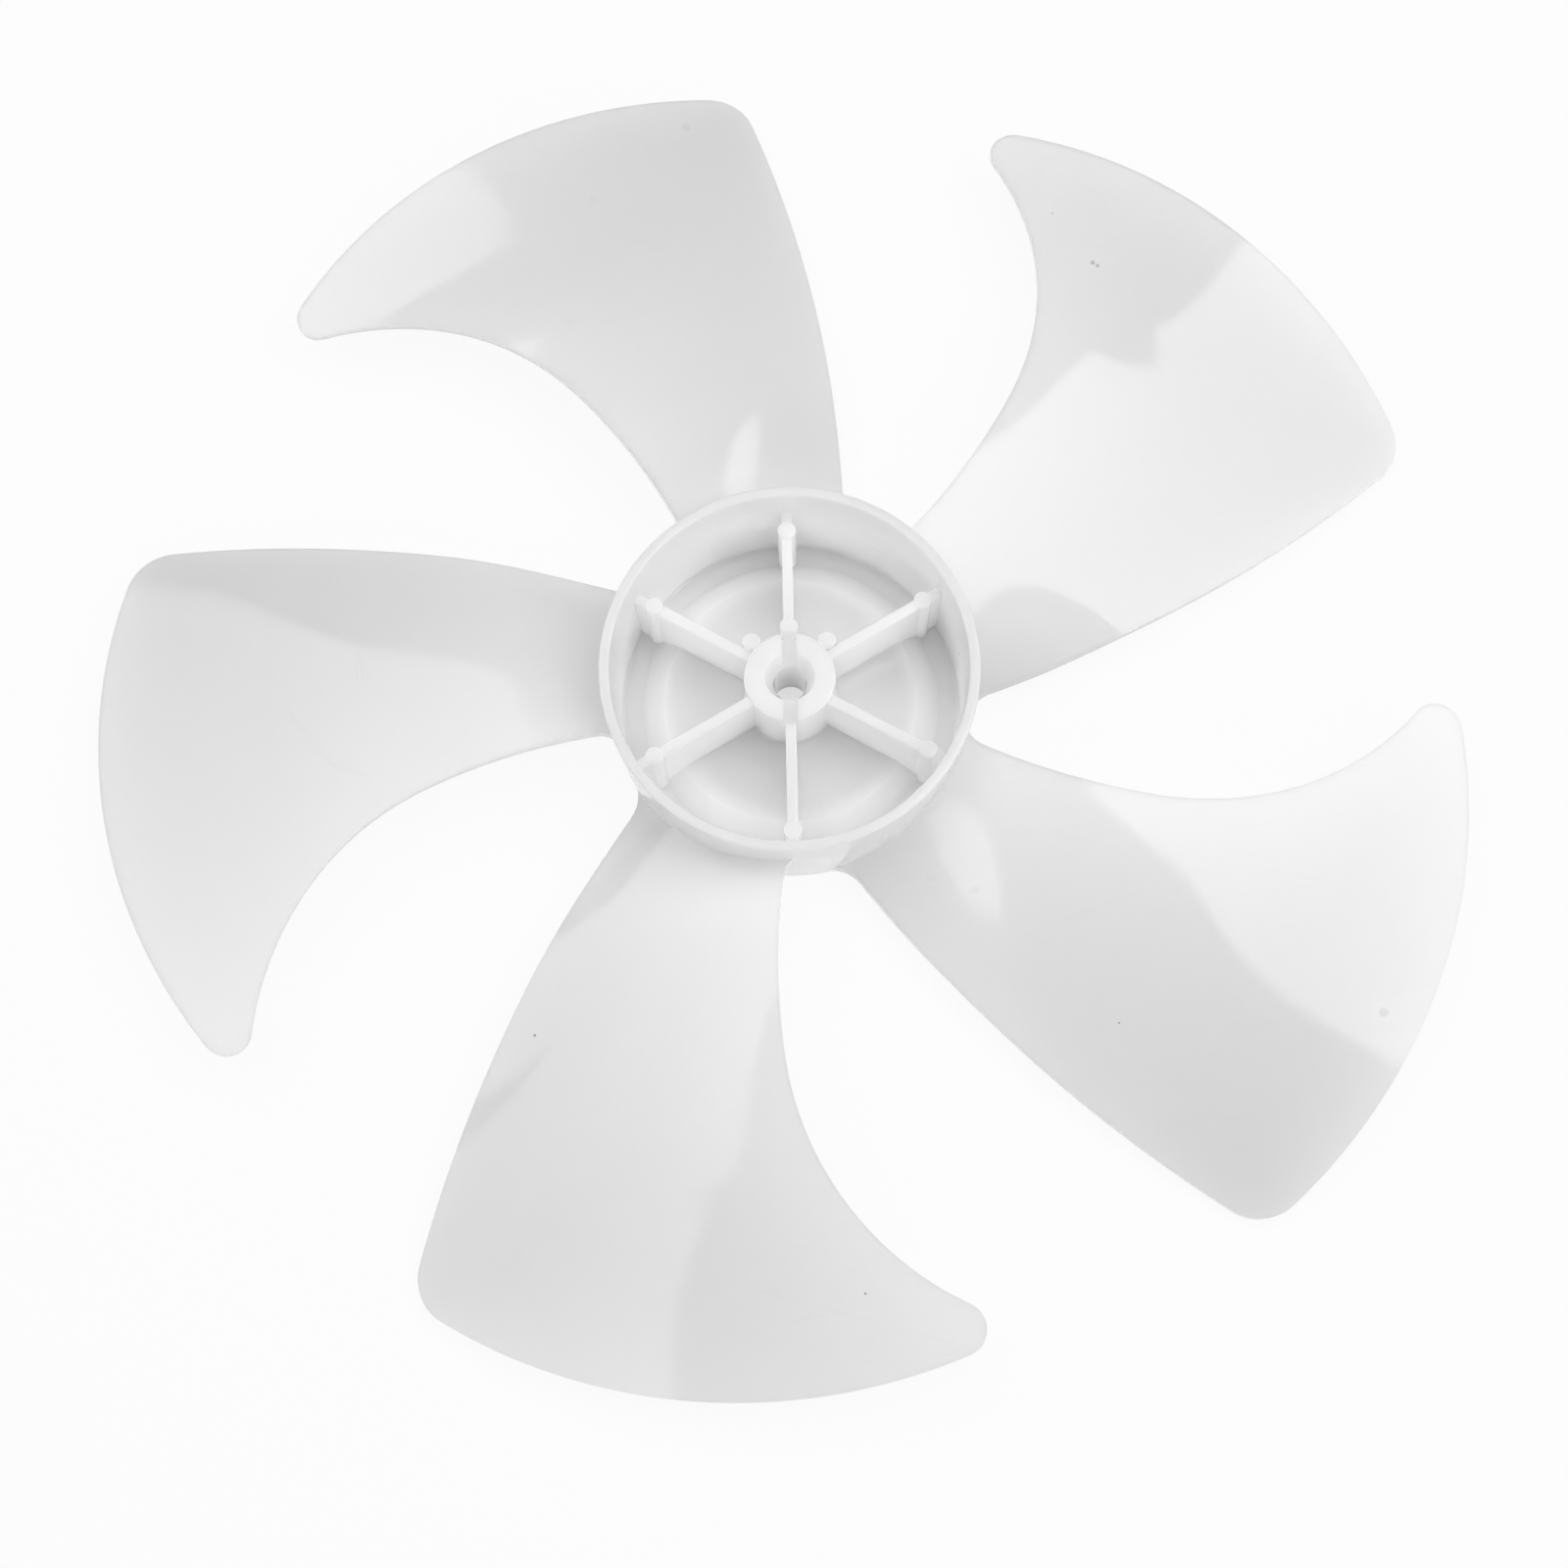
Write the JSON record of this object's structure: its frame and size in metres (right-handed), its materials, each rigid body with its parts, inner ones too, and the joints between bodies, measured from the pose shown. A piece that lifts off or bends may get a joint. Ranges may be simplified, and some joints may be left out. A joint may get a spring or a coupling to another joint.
{
  "type": "fan blade",
  "caption": "Milky plastic pedestal fan blade: broad swept blades round a ribbed hub that is open at the back, with a shaft bore and a cross-pin slot.",
  "frame": {"origin": "on the axis of the shaft bore, in the plane where the nut seats on the front of the hub", "axes": "+Z along the bore towards the motor, out of the open back of the hub; one blade points along -X"},
  "size_m": [0.3307, 0.3359, 0.034],
  "materials": {
    "plastic": "milky, slightly translucent, semi-gloss"
  },
  "bodies": {
    "root": {"fan_blade": "plastic"}
  },
  "joints": []
}
